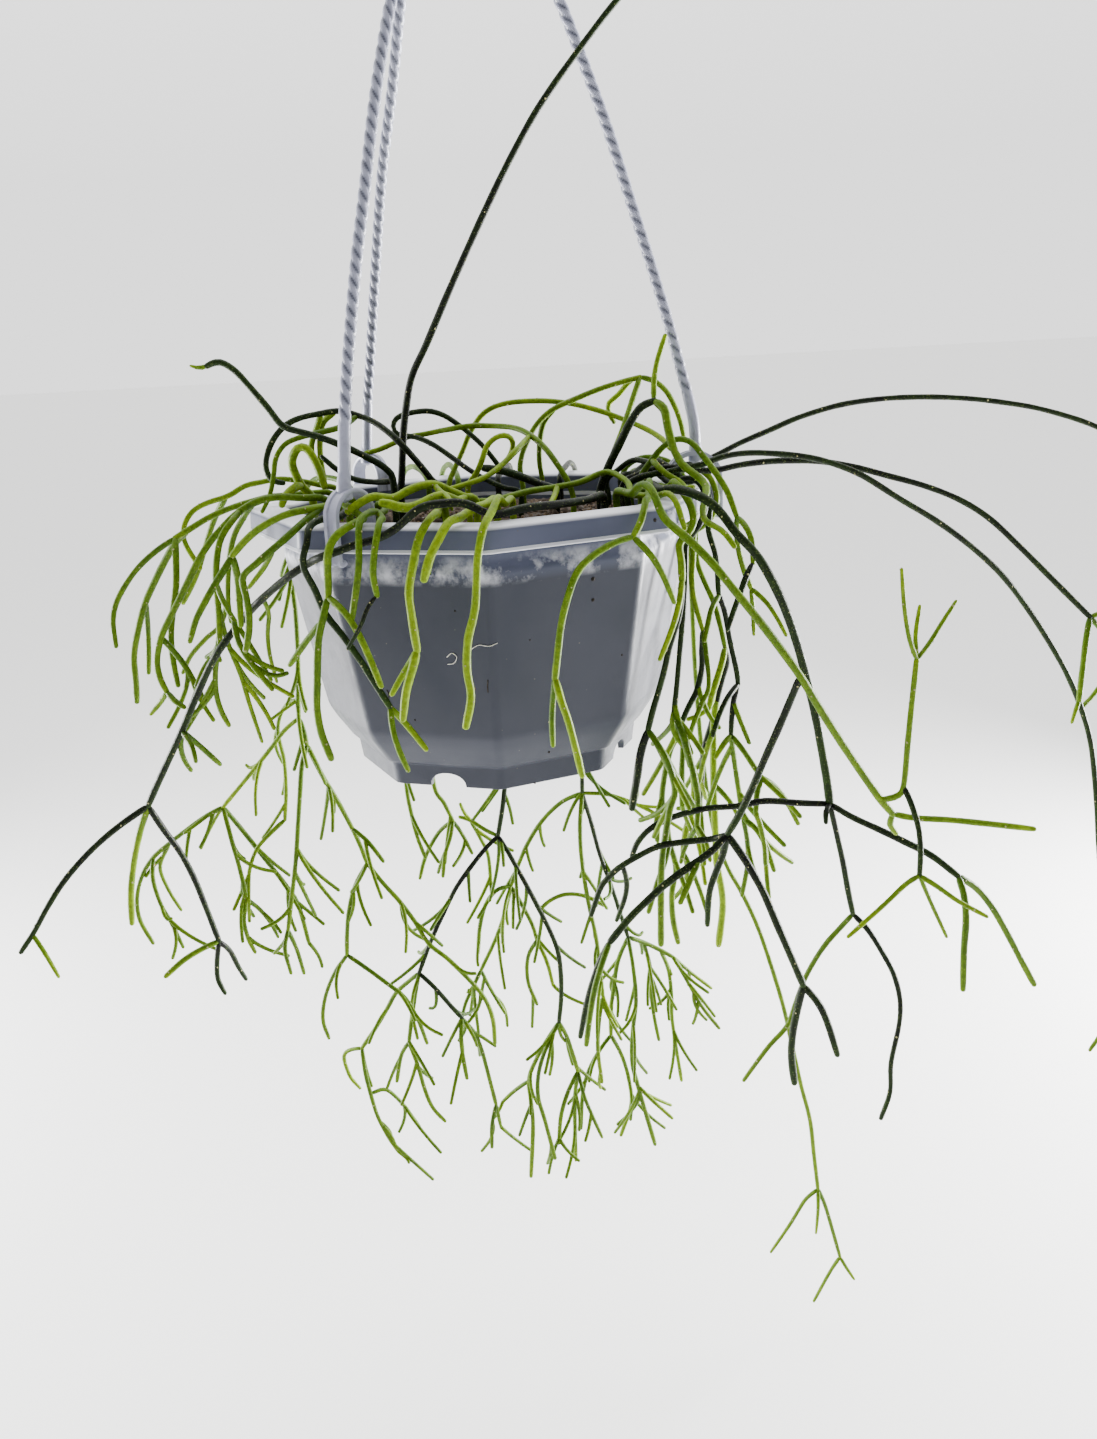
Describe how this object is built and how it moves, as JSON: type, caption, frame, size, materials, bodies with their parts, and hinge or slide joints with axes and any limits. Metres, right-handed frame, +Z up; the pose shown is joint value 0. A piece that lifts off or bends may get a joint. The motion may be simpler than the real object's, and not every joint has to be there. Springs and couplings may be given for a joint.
{
  "type": "potted rhipsalis",
  "caption": "Trailing rhipsalis with thin forked green stems, growing in an octagonal hanging pot with a clipped hanger and hook",
  "frame": {"origin": "inside top of the hanger hook's bend, where the rail or nail that it hangs from touches it", "axes": "+Z up along the pot's axis, -Y to the front, +X to the right"},
  "size_m": [0.6015, 0.2793, 0.9161],
  "materials": {
    "moulded_pot": "semi-gloss moulded polypropylene, pale lavender grey",
    "moulded_hanger": "semi-gloss moulded polypropylene with a twisted rope pattern on the arms",
    "potting_soil": null,
    "young_stem": "smooth succulent skin, bright yellow green",
    "green_stem": "smooth succulent skin, fresh green",
    "mature_stem": "smooth succulent skin, mid green",
    "old_stem": "old stem skin, nearly black green"
  },
  "bodies": {
    "root": {"pot": "moulded_pot", "soil": "potting_soil", "hanger_hub": "moulded_hanger", "arm_front_left": "moulded_hanger", "arm_back_left": "moulded_hanger", "arm_right": "moulded_hanger", "stems_left_long": "old_stem", "stems_tall": "old_stem", "stems_top_left": "old_stem", "stems_loop_left": "old_stem", "stems_young_left": "young_stem", "stems_left_back": "mature_stem", "stems_left_middle": "mature_stem", "stems_left_front": "green_stem", "stems_left_pale": "green_stem", "stems_front_left": "old_stem", "stems_front_left_green": "mature_stem", "stems_front_short": "mature_stem", "stems_front_a": "young_stem", "stems_front_b": "young_stem", "stems_front_c": "young_stem", "stems_rim_runner": "young_stem", "stems_arch_back": "mature_stem", "stems_arch_wide": "mature_stem", "stems_loop_back": "old_stem", "stems_small_loop": "green_stem", "stems_arch_centre": "green_stem", "stems_bark": "old_stem", "stems_dark_arch": "old_stem", "stems_right_arch": "mature_stem", "stems_right_long": "mature_stem", "stems_right_thick": "old_stem", "stems_far_right": "mature_stem", "stems_arc_high": "old_stem", "stems_arc_low": "old_stem", "stems_arc_middle": "old_stem", "stems_right_front": "mature_stem", "stems_cluster_front": "mature_stem", "stems_cluster_dark": "old_stem", "stems_cluster_middle": "green_stem", "stems_cluster_back": "mature_stem", "stems_cluster_right": "old_stem", "stems_behind_left": "mature_stem", "stems_behind_a": "mature_stem", "stems_behind_b": "mature_stem", "stems_behind_c": "old_stem", "stems_behind_d": "old_stem"}
  },
  "joints": []
}
